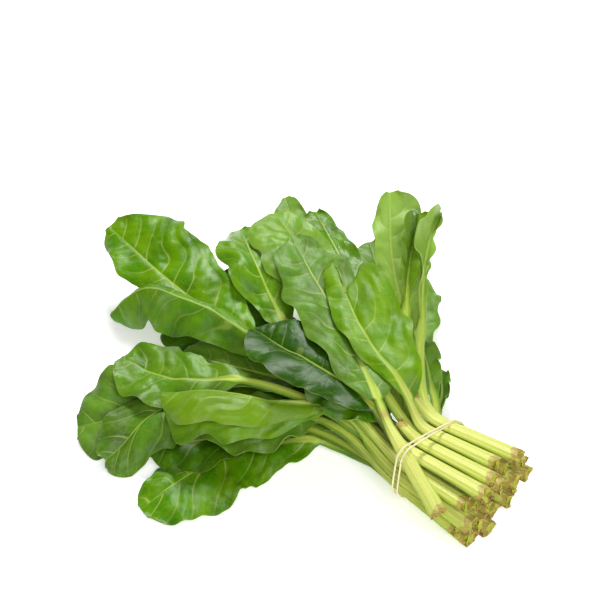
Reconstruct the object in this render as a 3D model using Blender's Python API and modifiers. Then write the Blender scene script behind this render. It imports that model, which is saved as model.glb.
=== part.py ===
"""Baby chard bunch lying on a table: whole leaves, each a blade grown on its own stalk,
two cut stalks that carry no blade, and the elastic band wound twice round them all.

The stalks run along X, cut ends at +X, and the leaves fan out towards -X. The leaves are
laid one after another, from the table up: each keeps its own bend until it meets what
already lies there, and is lifted over it. Lengths are millimetres until the meshes are made.
"""

import math
from collections import namedtuple

import bmesh
import bpy
import numpy as np

MM = 0.001

# The bundle of stalks where the band holds it: rows from the table up. Heights are those
# of a stalk's upper face above the table, and the bundle widens from the band to the cut.
ROW_STALKS = (4, 5, 6, 5, 5, 4)
ROW_WIDTH = (47.0, 62.0, 70.0, 69.0, 60.0, 46.0)
BUNDLE_Y = -2.0
CUT_X = 52.0
CUT_RAGGED = 5.0
FIRST_ROW_AT_BAND = 10.0
ROW_PITCH_AT_BAND = 7.3
FIRST_ROW_AT_CUT = 9.0
ROW_PITCH_AT_CUT = 9.4
WIDER_AT_CUT = 1.16
STRAIGHT_PAST_BAND = 10.0

# A stalk's own section, and the sheet of a blade.
STALK_SHARE_OF_PITCH = 0.487
STALK_SLIMMER_AT = (0.0, 8.0, 30.0)
STALK_SLIMMER_TO = (1.0, 0.95, 0.72)
STALK_THICK_AT = (-52.0, 0.0, 30.0)
STALK_THICK_TO = (8.6, 6.2, 5.0)
STALK_CURL = -50.0
STALK_EDGE_SHARE = (0.65, 0.92, 1.0, 1.0, 1.0, 0.92, 0.65)
NECK_HALF_WIDTH = 3.2
NECK_THICK = 3.4
RIB_AT_BASE = 2.4
RIB_AT_TIP = 0.8
TIP_THICK = 1.1
NOTCHED_AT = 0.74
BLADE_THICK = 0.9
STALK_STATIONS = 3
BLADE_STATIONS = 11

# How leaves are laid on each other.
GAP = 0.9
CELL = 1.5
FREE_FROM_X = -22.0
BEND_LIMIT = 0.4

# The elastic band.
BAND_THICK = 1.4
BAND_GAP = 0.9
BAND_STRANDS_APART = 4.0
BAND_POINTS = 120

Leaf = namedtuple(
    "Leaf",
    "name row column blade width roll fold curl wave taper halves notch lean",
    defaults=(
        0.0, (12.0, 12.0), (-20.0, -20.0), 3.0, 0.5, (1.0, 1.0), (1.0, 1.0), (0.0, 0.0)
    ),
)

# Each leaf: its place in the bundle, the points its midrib runs through from the blade's
# base to its tip (x, y, height), the blade's width, its roll about the midrib, the angle at
# which the left and right half leave the midrib, how much each curls on from there, the
# ruffle of its edge, how slowly it widens, how wide each half is for the other, where each
# half ends in a notch instead of at the tip, and how far it leans towards the tip there.
# Left is the table's -Y side for a leaf that points to -X.
LEAVES = (
    Leaf("leaf_far_left", 0, 1, ((-141, -52, 10), (-176, -88, 16), (-216, -134, 5)), 74, -20,
         taper=0.75),
    Leaf("leaf_right_low", 0, 3, ((-66, 70, 8), (-97, 107, 12), (-129, 152, 12)), 40, -10),
    Leaf("leaf_back_low", 0, 2, ((-130, 60, 8), (-215, 108, 20), (-266, 142, 32)), 34, -5),
    Leaf("leaf_front_low", 0, 0, ((-76, -30, 6), (-111, -69, 5), (-129, -152, 1)), 64, 0,
         (-6, -10), (-10, -20), halves=(1.15, 0.75)),
    Leaf("leaf_shadow", 1, 0, ((-115, -47, 8), (-129, -76, 6), (-158, -117, 2)), 52, 0),
    Leaf("leaf_drooping", 1, 1, ((-125, -45, 18), (-166, -84, 24), (-176, -142, 2)), 60, 0,
         (5, 12), (-40, -20), halves=(0.95, 0.8), lean=(45, 25)),
    Leaf("leaf_left_mid", 1, 2, ((-125, -2, 18), (-187, -11, 22), (-243, -21, 18)), 56, -8),
    Leaf("leaf_inner_low", 1, 3, ((-42, 6, 18), (-95, -12, 22), (-165, -36, 22)), 54, -5,
         taper=0.3),
    Leaf("leaf_right_rolled", 1, 4, ((-26, 42, 16), (-34, 58, 16), (-51, 79, 16)), 15, -10,
         (25, 25), (10, 10)),
    Leaf("leaf_tucked", 2, 0, ((-76, -29, 20), (-108, -58, 18), (-142, -84, 12)), 46, 0),
    Leaf("leaf_crumpled", 2, 2, ((-110, -12, 28), (-151, -31, 32), (-197, -47, 28)), 52, 0),
    Leaf("leaf_left_long", 2, 1, ((-137, -46, 36), (-172, -70, 34), (-226, -81, 26)), 52, -12),
    Leaf("leaf_inner_mid", 2, 3, ((-125, 4, 34), (-175, 20, 36), (-230, 46, 36)), 46, -5),
    Leaf("leaf_back_right", 2, 4, ((-79, 64, 36), (-125, 100, 44), (-163, 130, 46)), 38, 0),
    Leaf("leaf_right_wavy", 2, 5, ((-30, 42, 30), (-50, 60, 32), (-73, 80, 32)), 26, -15,
         wave=4.0, halves=(0.85, 0.85)),
    Leaf("leaf_top_left", 3, 1, ((-160, -12, 40), (-240, -13, 50), (-329, 1, 50)), 70, -12,
         (8, 14), (-25, -18), 3.0, 0.45, (0.62, 1.22)),
    Leaf("leaf_upper_left", 3, 2, ((-145, 14, 44), (-188, 31, 50), (-246, 66, 48)), 50, -10),
    Leaf("leaf_folded", 3, 0, ((-66, -24, 40), (-117, -56, 42), (-170, -90, 38)), 66, -90,
         (58, 80), (-10, 60), 2.0, 0.8, (1.15, 0.85)),
    Leaf("leaf_back_shiny", 3, 3, ((-86, 45, 42), (-145, 84, 50), (-216, 125, 52)), 50, 0,
         halves=(1.1, 0.55)),
    Leaf("leaf_upright", 3, 4, ((-70, 62, 54), (-112, 92, 82), (-146, 130, 104)), 56, -5,
         halves=(0.45, 1.05)),
    Leaf("leaf_curled_tip", 4, 0,
         ((-126, -16, 50), (-190, -22, 56), (-238, -41, 54), (-258, -62, 30)), 58, 0,
         (-35, -35), (-20, -30), 4.0, halves=(0.9, 0.7)),
    Leaf("leaf_under_top", 4, 1, ((-36, -9, 44), (-64, -14, 46), (-98, -12, 44)), 44, 0,
         taper=0.3, halves=(1.0, 1.25)),
    Leaf("leaf_round", 4, 2, ((-96, 26, 46), (-163, 62, 52), (-231, 91, 52)), 66, -12,
         taper=0.6, halves=(1.05, 0.8)),
    Leaf("leaf_upright_folded", 4, 3, ((-78, 66, 80), (-95, 91, 93), (-113, 124, 104)), 34, 20,
         (50, 50), (10, 10), halves=(1.3, 0.75)),
    Leaf("leaf_upright_pale", 4, 4, ((-60, 61, 66), (-82, 92, 84), (-98, 130, 98)), 30, 30,
         (40, 60), (10, 10), taper=0.4, halves=(1.2, 0.3)),
    Leaf("leaf_glossy", 5, 0, ((-42, -13, 52), (-98, -14, 58), (-155, -12, 54)), 54, 0,
         (30, 30), (-40, -40), taper=0.35),
)

# The last two lie over everything else, the cut stalks too.
UPPER_LEAVES = (
    Leaf("leaf_centre", None, 0, ((-41, -10, 58), (-107, 26, 68), (-191, 69, 66)), 56, -12,
         taper=0.35, halves=(0.98, 1.0)),
    Leaf("leaf_top", 5, 2, ((-26, 6, 56), (-75, 20, 68), (-141, 60, 81)), 50, -15,
         (10, 10), (-25, -25), 2.5, 0.5, (0.6, 1.6), (1.0, 0.73), (0.0, 76.0)),
)

# The stalk of leaf_centre lies across the outside of the bundle, under the band.
OUTER_STALK_CUT = (40.0, -46.0, 23.0)
OUTER_STALK_BAND = (0.0, -31.5, 46.5)
OUTER_STALK_PITCH = 10.5

# Stalks cut off above the band: place in the bundle and where they end.
Stub = namedtuple("Stub", "name row column end")
STUBS = (
    Stub("stalk_stub_left", 5, 1, (-24, -7, 47)),
    Stub("stalk_stub_right", 5, 3, (-34, 18, 50)),
)


def clear_scene():
    for obj in list(bpy.data.objects):
        bpy.data.objects.remove(obj)


def smooth_step(x):
    x = np.clip(x, 0.0, 1.0)
    return x * x * (3 - 2 * x)


def run_along(path):
    return np.concatenate([[0], np.cumsum(np.linalg.norm(np.diff(path, axis=0), axis=1))])


def smooth_path(points, heading, per_span=24):
    """A curve through the given points that sets out along heading."""
    given = np.array(points, float)
    knots = run_along(given)
    slopes = np.gradient(given, knots, axis=0)
    slopes[0] = heading
    path = []
    for k in range(len(given) - 1):
        span = knots[k + 1] - knots[k]
        f = np.linspace(0, 1, per_span, endpoint=False)[:, None]
        path.append(
            (2 * f**3 - 3 * f**2 + 1) * given[k]
            + (f**3 - 2 * f**2 + f) * span * slopes[k]
            + (3 * f**2 - 2 * f**3) * given[k + 1]
            + (f**3 - f**2) * span * slopes[k + 1]
        )
    return np.concatenate([*path, given[-1:]])


def at_lengths(path, lengths):
    run = run_along(path)
    return np.stack([np.interp(lengths, run, path[:, k]) for k in range(3)], axis=1)


def slot(row, column):
    """A stalk's place at the cut and at the band, and the room it has across."""
    if row is None:
        return np.array(OUTER_STALK_CUT), np.array(OUTER_STALK_BAND), OUTER_STALK_PITCH
    pitch = ROW_WIDTH[row] / ROW_STALKS[row]
    y = BUNDLE_Y + (column + 0.5) * pitch - ROW_WIDTH[row] / 2
    band = np.array([0.0, y, FIRST_ROW_AT_BAND + ROW_PITCH_AT_BAND * row])
    cut = np.array([CUT_X, y * WIDER_AT_CUT, FIRST_ROW_AT_CUT + ROW_PITCH_AT_CUT * row])
    ragged = 1 + CUT_RAGGED / CUT_X * math.sin(2.7 * row + 1.9 * column)
    return band + (cut - band) * ragged, band, pitch


def stalk_path(cut, band, onward):
    """The midrib from the cut end: straight under the band, then on through the points."""
    heading = (band - cut) / np.linalg.norm(band - cut)
    past = band + STRAIGHT_PAST_BAND * heading
    return np.concatenate([[cut, band], smooth_path([past, *onward], heading)])


def stalk_width(past_band, pitch):
    flare = 1 + (WIDER_AT_CUT - 1) * np.clip(-past_band, 0, None) / CUT_X
    slimmer = np.interp(past_band, STALK_SLIMMER_AT, STALK_SLIMMER_TO)
    return STALK_SHARE_OF_PITCH * pitch * flare * slimmer


def frames(points, roll):
    """Along, left and up vectors at each station, turned by roll (degrees, for each station)."""
    along = np.gradient(points, axis=0)
    along /= np.linalg.norm(along, axis=1, keepdims=True)
    left = np.cross([0.0, 0.0, 1.0], along)
    left /= np.linalg.norm(left, axis=1, keepdims=True)
    up = np.cross(along, left)
    turn = np.radians(roll)[:, None]
    rolled = np.cos(turn) * left + np.sin(turn) * up
    return along, rolled, np.cross(along, rolled)


def section(width, rib, fold, curl):
    """Across and up of the three points from the midrib to one edge, for each station."""
    reach = np.stack([rib, (rib + width) / 2, width])
    turn = np.radians(np.where(np.abs(curl) < 1, 1.0, curl))
    start = np.radians(fold)
    end = start + turn * reach / width
    across = width / turn * (np.sin(end) - np.sin(start))
    up = width / turn * (np.cos(start) - np.cos(end))
    return across, up


def leaf_stations(leaf):
    """Points along the midrib, their distance past the band, and the share of the way up:
    0 at the band, 1 at the blade's base, 2 at its tip."""
    cut, band, _ = slot(leaf.row, leaf.column)
    path = stalk_path(cut, band, leaf.blade)
    run = run_along(path)
    base = run[np.argmin(np.linalg.norm(path - np.array(leaf.blade[0]), axis=1))]
    past = run[1] + STRAIGHT_PAST_BAND
    up_stalk = np.linspace(0, 1, STALK_STATIONS + 1)[1:-1]
    steps = np.linspace(0, 1, BLADE_STATIONS + 1)
    up_blade = steps * (1.2 - 0.2 * steps)
    lengths = np.concatenate(
        [[0, run[1], past], past + up_stalk * (base - past), base + up_blade * (run[-1] - base)]
    )
    share = np.where(
        lengths < base, (lengths - run[1]) / (base - run[1]), 1 + (lengths - base) / (run[-1] - base)
    )
    return at_lengths(path, lengths), lengths - run[1], share


def blade_width(leaf, t):
    """Half the blade's width at t, from 0 at its base to 1 at its tip."""
    peak = (leaf.taper / (2 + leaf.taper)) ** (leaf.taper / 4) * math.sqrt(2 / (2 + leaf.taper))
    return leaf.width / 2 * t**leaf.taper * np.sqrt(1 - np.clip(t, 0, 0.993) ** 4) / peak


def half_blade(leaf, side, t):
    """The width of one half at t, and its lean: a notched half ends while it is still wide."""
    end = leaf.notch[side]
    reached = t / end * (NOTCHED_AT if end < 1 else 1)
    width = np.where(t <= end, blade_width(leaf, np.minimum(reached, 1)), 0)
    return width * leaf.halves[side], np.radians(leaf.lean[side]) * np.clip(t / end, 0, 1) ** 3


def leaf_lattice(leaf):
    """The leaf's upper face as a lattice of 7 points across and one row for each station,
    and the thickness below each point."""
    seed = np.random.default_rng(sum(map(ord, leaf.name)))
    points, past_band, share = leaf_stations(leaf)
    _, _, pitch = slot(leaf.row, leaf.column)
    t = np.clip(share - 1, 0, 1)
    on_blade = smooth_step((share - 0.75) * 3)
    along, left, up = frames(points, leaf.roll * smooth_step((share - 0.3) * 1.4))
    stalk = stalk_width(past_band, pitch)
    stalk = stalk + (NECK_HALF_WIDTH - stalk) * smooth_step((share - 0.4) / 0.6)
    lattice = np.zeros((7, len(points), 3))
    lattice[3] = points
    for side, sign in ((0, 1), (1, -1)):
        cycles, phase = 2.4 + 1.2 * seed.random(), 2 * math.pi * seed.random()
        ruffle = leaf.wave * np.sin(2 * math.pi * cycles * t + phase) * smooth_step(t * 4)
        lobes = 1 + 0.07 * np.sin(2 * math.pi * (cycles + 0.6) * t - phase)
        blade, lean = half_blade(leaf, side, t)
        neck = NECK_HALF_WIDTH * (1 - t) + 1.5 * t
        width = np.where(share < 1, stalk, np.maximum(blade * lobes, neck))
        outward = sign * np.cos(lean)[:, None] * left + np.sin(lean)[:, None] * along
        rib = np.where(share < 1, 0.4 * width, RIB_AT_BASE + (RIB_AT_TIP - RIB_AT_BASE) * t)
        fold = leaf.fold[side] * on_blade
        curl = STALK_CURL * (1 - on_blade) + leaf.curl[side] * on_blade
        across, rise = section(width, np.minimum(rib, 0.5 * width), fold, curl)
        for k, share_of_ruffle in enumerate((0.0, 0.25, 1.0)):
            lattice[3 + sign * (k + 1)] = (
                points
                + across[k][:, None] * outward
                + (rise[k] + share_of_ruffle * ruffle)[:, None] * up
            )
    centre = np.interp(past_band, STALK_THICK_AT, STALK_THICK_TO)
    centre = centre + (NECK_THICK - centre) * smooth_step((share - 0.2) / 0.8)
    centre = np.where(share < 1, centre, NECK_THICK + (TIP_THICK - NECK_THICK) * t)
    edge = np.array(STALK_EDGE_SHARE)[:, None] * centre
    thick = edge + (BLADE_THICK - edge) * smooth_step((share - 0.8) * 4)
    thick[3] = centre
    return lattice, np.maximum(thick, BLADE_THICK)


def stub_lattice(stub):
    """A stalk alone, nearly as wide at its upper end as below."""
    cut, band, pitch = slot(stub.row, stub.column)
    path = stalk_path(cut, band, [stub.end])
    run = run_along(path)
    past = run[1] + STRAIGHT_PAST_BAND
    lengths = np.array([0, run[1], past, (past + run[-1]) / 2, run[-1]])
    points = at_lengths(path, lengths)
    past_band = lengths - run[1]
    _, left, up = frames(points, np.zeros(len(points)))
    width = stalk_width(past_band, pitch)
    across, rise = section(width, 0.4 * width, np.zeros(len(points)), STALK_CURL)
    lattice = np.zeros((7, len(points), 3))
    lattice[3] = points
    for sign in (1, -1):
        for k in range(3):
            lattice[3 + sign * (k + 1)] = (
                points + sign * across[k][:, None] * left + rise[k][:, None] * up
            )
    centre = np.interp(past_band, STALK_THICK_AT, STALK_THICK_TO)
    return lattice, np.array(STALK_EDGE_SHARE)[:, None] * centre


def lower_face(lattice, thick):
    """The lattice's underside: each point moved down its own normal by the thickness."""
    along = np.gradient(lattice, axis=1)
    across = np.gradient(lattice, axis=0)
    normal = np.cross(along, across)
    normal /= np.linalg.norm(normal, axis=2, keepdims=True)
    return lattice - normal * thick[..., None]


def spread(lattice, count=10):
    """Points spread evenly over every patch of the lattice, one block for each patch."""
    f = np.linspace(0, 1, count)[None, None, :, None, None]
    g = np.linspace(0, 1, count)[None, None, None, :, None]
    corner = lattice[:, :, None, None, :]
    low = corner[:-1, :-1] * (1 - g) + corner[:-1, 1:] * g
    high = corner[1:, :-1] * (1 - g) + corner[1:, 1:] * g
    return low * (1 - f) + high * f


class Relief:
    """Height of what already lies on the table, over a grid of cells."""

    def __init__(self):
        self.low = np.array([-380.0, -240.0])
        self.height = np.zeros((340, 340))

    def cells(self, points):
        index = ((points[..., :2] - self.low) / CELL).astype(int)
        return tuple(np.clip(index[..., k], 1, self.height.shape[k] - 2) for k in range(2))

    def add(self, points):
        points = points.reshape(-1, 3)
        np.maximum.at(self.height, self.cells(points), points[:, 2])

    def under(self, points):
        """Height at each point, taking the highest of its cell and the eight round it."""
        x, y = self.cells(points)
        near = [self.height[x + i, y + j] for i in (-1, 0, 1) for j in (-1, 0, 1)]
        return np.max(near, axis=0)


def lifts(lattice, thick, relief, free_from):
    """How far each lattice point has to rise so that the leaf clears what lies below it."""
    need = np.zeros(lattice.shape[:2])
    for face in (lattice, lower_face(lattice, thick)):
        points = spread(face)
        below = relief.under(points)
        short = np.where(below > 0, below + GAP, 0.0) - points[..., 2]
        short = np.where((points[..., 0] < free_from) | (below == 0), short, 0.0)
        patch = short.max(axis=(2, 3))
        for i in (0, 1):
            for j in (0, 1):
                here = need[i : i + patch.shape[0], j : j + patch.shape[1]]
                np.maximum(here, patch, out=here)
    flat = lattice.reshape(-1, 3)
    apart = np.linalg.norm(flat[:, None, :2] - flat[None, :, :2], axis=2)
    rise = (need.reshape(-1)[None, :] - BEND_LIMIT * apart).max(axis=1).reshape(need.shape)
    return np.where(lattice[..., 0] < free_from + 8, np.maximum(rise, 0), 0)


def lay(lattice, thick, relief, free_from):
    """The lattice, lifted clear of the leaves under it, which it then joins."""
    lattice = lattice.copy()
    lattice[..., 2] += lifts(lattice, thick, relief, free_from)
    for face in (lattice, lower_face(lattice, thick)):
        relief.add(spread(face))
    return lattice


def material(name, colour, roughness):
    made = bpy.data.materials.new(name)
    made.use_nodes = True
    shader = made.node_tree.nodes["Principled BSDF"]
    shader.inputs["Base Color"].default_value = (*colour, 1)
    shader.inputs["Roughness"].default_value = roughness
    return made


def strip_object(name, lattice, thick, finish, collection):
    """A closed leaf or stalk: the lattice as an open strip, thickened downwards."""
    rows, columns = lattice.shape[:2]
    mesh = bpy.data.meshes.new(name)
    shape = bmesh.new()
    bmesh.ops.create_grid(shape, x_segments=columns - 1, y_segments=rows - 1, size=1)
    shape.verts.ensure_lookup_table()
    for index, vert in enumerate(shape.verts):
        vert.co = lattice[index // columns, index % columns] * MM
    bmesh.ops.triangulate(shape, faces=shape.faces, quad_method="FIXED")
    shape.to_mesh(mesh)
    shape.free()
    obj = bpy.data.objects.new(name, mesh)
    collection.objects.link(obj)
    mesh.materials.append(finish)
    most = thick.max()
    group = obj.vertex_groups.new(name="thickness")
    for index, share in enumerate((thick / most).reshape(-1)):
        group.add([index], float(share), "REPLACE")
    wall = obj.modifiers.new("thickness", "SOLIDIFY")
    wall.thickness = most * MM
    wall.offset = -1
    wall.vertex_group = group.name
    return obj


def band_outline(strips):
    """The tight outline round the stalks where the band sits, as evenly spaced points."""
    ring = np.concatenate([f[:, 1, 1:] for s in strips for f in (s[0], lower_face(*s))])
    turn = np.linspace(0, 2 * math.pi, 721)
    facing = np.stack([np.cos(turn), np.sin(turn)], axis=1)
    outer = ring[np.argmax(facing @ ring.T, axis=1)] + facing * (BAND_GAP + BAND_THICK / 2)
    run = run_along(outer)
    even = np.linspace(0, run[-1], BAND_POINTS // 2 + 1)[:-1]
    return np.stack([np.interp(even, run, outer[:, k]) for k in range(2)], axis=1)


def elastic_band(strips, finish, collection):
    """One closed loop wound twice: its two turns lie side by side and cross once."""
    outline = band_outline(strips)
    middle = outline.mean(axis=0)
    half = len(outline)
    curve = bpy.data.curves.new("elastic_band", "CURVE")
    curve.dimensions = "3D"
    curve.bevel_depth = BAND_THICK / 2 * MM
    curve.bevel_resolution = 1
    spline = curve.splines.new("POLY")
    spline.points.add(2 * half - 1)
    spline.use_cyclic_u = True
    for k in range(2 * half):
        turn = math.pi * k / half - 0.25 * math.pi
        y, z = outline[k % half]
        out = np.array([y, z]) - middle
        out = out / np.linalg.norm(out)
        lift = 0.9 * BAND_THICK * (1 + math.sin(turn)) / 2
        x = BAND_STRANDS_APART / 2 * math.cos(turn)
        spline.points[k].co = (x * MM, (y + out[0] * lift) * MM, (z + out[1] * lift) * MM, 1)
    obj = bpy.data.objects.new("elastic_band", curve)
    collection.objects.link(obj)
    curve.materials.append(finish)
    return obj


def centre_on_table(objects):
    """Puts the middle of the bunch's box over the origin and its lowest point on z = 0."""
    bpy.context.view_layer.update()
    graph = bpy.context.evaluated_depsgraph_get()
    low, high = np.full(3, np.inf), np.full(3, -np.inf)
    for obj in objects:
        corners = np.array([v.co for v in obj.evaluated_get(graph).to_mesh().vertices])
        low, high = np.minimum(low, corners.min(axis=0)), np.maximum(high, corners.max(axis=0))
    for obj in objects:
        obj.location = (-(low[0] + high[0]) / 2, -(low[1] + high[1]) / 2, -low[2])


def lay_bunch():
    """Name, lattice and thickness of every leaf and stalk, laid from the table up."""
    relief = Relief()
    laid = []
    for grown in (*LEAVES, *STUBS, *UPPER_LEAVES):
        lattice, thick = stub_lattice(grown) if isinstance(grown, Stub) else leaf_lattice(grown)
        free_from = FREE_FROM_X if grown.row is not None else 2 * CUT_X
        laid.append((grown.name, lay(lattice, thick, relief, free_from), thick))
    return laid


def main():
    clear_scene()
    collection = bpy.data.collections.new("baby_chard_bunch")
    bpy.context.scene.collection.children.link(collection)
    leaf_green = material("leaf", (0.12, 0.30, 0.03), 0.4)
    stalk_green = material("stalk", (0.62, 0.75, 0.30), 0.45)
    rubber = material("elastic", (0.85, 0.76, 0.50), 0.5)
    bunch = lay_bunch()
    stubs = [stub.name for stub in STUBS]
    objects = []
    for name, lattice, thick in bunch:
        finish = stalk_green if name in stubs else leaf_green
        objects.append(strip_object(name, lattice, thick, finish, collection))
    objects.append(elastic_band([piece[1:] for piece in bunch], rubber, collection))
    centre_on_table(objects)


main()
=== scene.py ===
"""Baby chard bunch: the finished leaves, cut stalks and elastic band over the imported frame.

Each leaf is laid as in the frame, from the same table of leaves, and is then drawn fine: its
veins, puckers and edge are relief on both faces, and its colours follow the same veins.
Lengths are millimetres until a mesh is made.
"""

import functools
import math
from collections import namedtuple

import bmesh
import bpy
import numpy as np
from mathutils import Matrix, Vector


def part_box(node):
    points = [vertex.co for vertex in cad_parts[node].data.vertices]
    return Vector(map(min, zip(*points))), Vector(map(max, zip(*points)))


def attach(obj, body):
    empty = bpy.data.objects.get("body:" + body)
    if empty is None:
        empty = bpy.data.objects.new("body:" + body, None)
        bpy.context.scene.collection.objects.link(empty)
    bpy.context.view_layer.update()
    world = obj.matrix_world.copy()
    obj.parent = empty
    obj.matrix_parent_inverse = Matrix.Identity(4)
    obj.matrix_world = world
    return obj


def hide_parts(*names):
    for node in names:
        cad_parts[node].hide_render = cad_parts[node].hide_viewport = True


bl_info = {
    "name": "Baby Chard Bunch",
    "version": (1, 0, 0),
    "blender": (4, 5, 0),
    "location": "View3D > Sidebar > Chard",
    "description": "Builds a tied bunch of baby chard leaves",
    "category": "Add Mesh",
}

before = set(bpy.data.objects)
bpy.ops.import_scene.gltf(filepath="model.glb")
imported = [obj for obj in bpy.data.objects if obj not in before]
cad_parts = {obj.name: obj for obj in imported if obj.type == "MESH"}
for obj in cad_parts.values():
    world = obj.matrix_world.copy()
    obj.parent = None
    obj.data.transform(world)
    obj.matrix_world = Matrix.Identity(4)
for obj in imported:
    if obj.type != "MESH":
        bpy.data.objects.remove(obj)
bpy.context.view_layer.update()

MM = 0.001
FRAME_TOLERANCE = 3.0

# The bundle of stalks where the band holds it, as in the frame's source.
ROW_STALKS = (4, 5, 6, 5, 5, 4)
ROW_WIDTH = (47.0, 62.0, 70.0, 69.0, 60.0, 46.0)
BUNDLE_Y = -2.0
CUT_X = 52.0
CUT_RAGGED = 5.0
FIRST_ROW_AT_BAND = 10.0
ROW_PITCH_AT_BAND = 7.3
FIRST_ROW_AT_CUT = 9.0
ROW_PITCH_AT_CUT = 9.4
WIDER_AT_CUT = 1.16
STRAIGHT_PAST_BAND = 10.0

# The left and the right half of a leaf, and the way that each points.
SIDES = ((0, 1), (1, -1))

# A stalk's own section, and the sheet of a blade.
STALK_SHARE_OF_PITCH = 0.487
STALK_SLIMMER_AT = (0.0, 8.0, 30.0)
STALK_SLIMMER_TO = (1.0, 0.95, 0.72)
STALK_THICK_AT = (-52.0, 0.0, 30.0)
STALK_THICK_TO = (8.6, 6.2, 5.0)
STALK_CURL = -50.0
STALK_EDGE_SHARE = (0.65, 0.92, 1.0, 1.0, 1.0, 0.92, 0.65)
NECK_HALF_WIDTH = 3.2
NECK_THICK = 3.4
RIB_AT_BASE = 2.4
RIB_AT_TIP = 0.8
TIP_THICK = 1.1
TIP_HALF_WIDTH = 1.5
LOBES = 0.07
NOTCHED_AT = 0.74
CAGE_BLADE_THICK = 0.9
CAGE_STALK_STATIONS = 3
CAGE_BLADE_STATIONS = 11

# How leaves are laid on each other, in the frame and again once they are fine.
CAGE_GAP = 0.9
CAGE_CELL = 1.5
FINE_GAP = 0.35
FINE_CELL = 1.0
FREE_FROM_X = -22.0
BEND_LIMIT = 0.4
BLOCK = 4
RELIEF_CORNER = (-380.0, -240.0)
RELIEF_WIDTH = 510
TABLE_CLEARANCE = 0.05
UPPER_CLEARANCE = 0.4

# Where the fine stalks differ from the frame's: pressed together up to this far past the band,
# flattened where they were cut, and winged with a thin margin from this far past the cut.
PACKED_PAST_BAND = 45.0
PACKED_FADE = 35.0
PACKED_WIDER = 0.09
PACKED_THICKER = 0.08
AT_CUT_TO = 28.0
AT_CUT_FADE = 24.0
AT_CUT_WIDER = 0.07
WINGED_FROM = 72.0
WINGED_FADE = 30.0
WINGED_WIDER = 0.4
WINGED_THINNER = 0.75

# Thickness across a fine stalk, from its middle to its edge, on its way and at the cut.
STALK_SECTION_AT = (0, 0.4, 0.7, 1)
STALK_SECTION = (1, 1, 0.92, 0.65)
CUT_SECTION_AT = (0, 0.3, 0.7, 1)
CUT_SECTION = (1.25, 1.15, 0.8, 0.2)

# A cut face: into how many points it is parted, how deep its middle is hollowed, how rough it
# is and how far it may stand out, in mm.
CUT_FACE_CUTS = 7
CUT_HOLLOW = 1.1
CUT_ROUGH = 0.5
CUT_PROUD = 0.2
SHARP_ANGLE = math.radians(55)

# The fine midrib's half width along the blade. A stalk is coloured as one all over.
FINE_RIB_AT = (0, 0.12, 0.3, 1)
FINE_RIB = (3.5, 1.9, 0.95, 0.25)
ALL_STALK = 60.0

# Side veins run aslant, so they lie nearer each other than their starts on the midrib.
VEIN_LEAN = 0.85

# Roughness from the dullest to the glossiest leaf, and how much each surface reflects.
UPPER_ROUGH = (0.44, 0.19)
LOWER_ROUGH = (0.48, 0.28)
LEAF_SPECULAR = 0.26
CUT_SPECULAR = 0.25

Cage = namedtuple("Cage", "growth lattice thick reach lifts")
Leaf = namedtuple(
    "Leaf",
    "name row column blade width roll fold curl wave taper halves notch lean",
    defaults=(
        0.0, (12.0, 12.0), (-20.0, -20.0), 3.0, 0.5, (1.0, 1.0), (1.0, 1.0), (0.0, 0.0)
    ),
)

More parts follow.
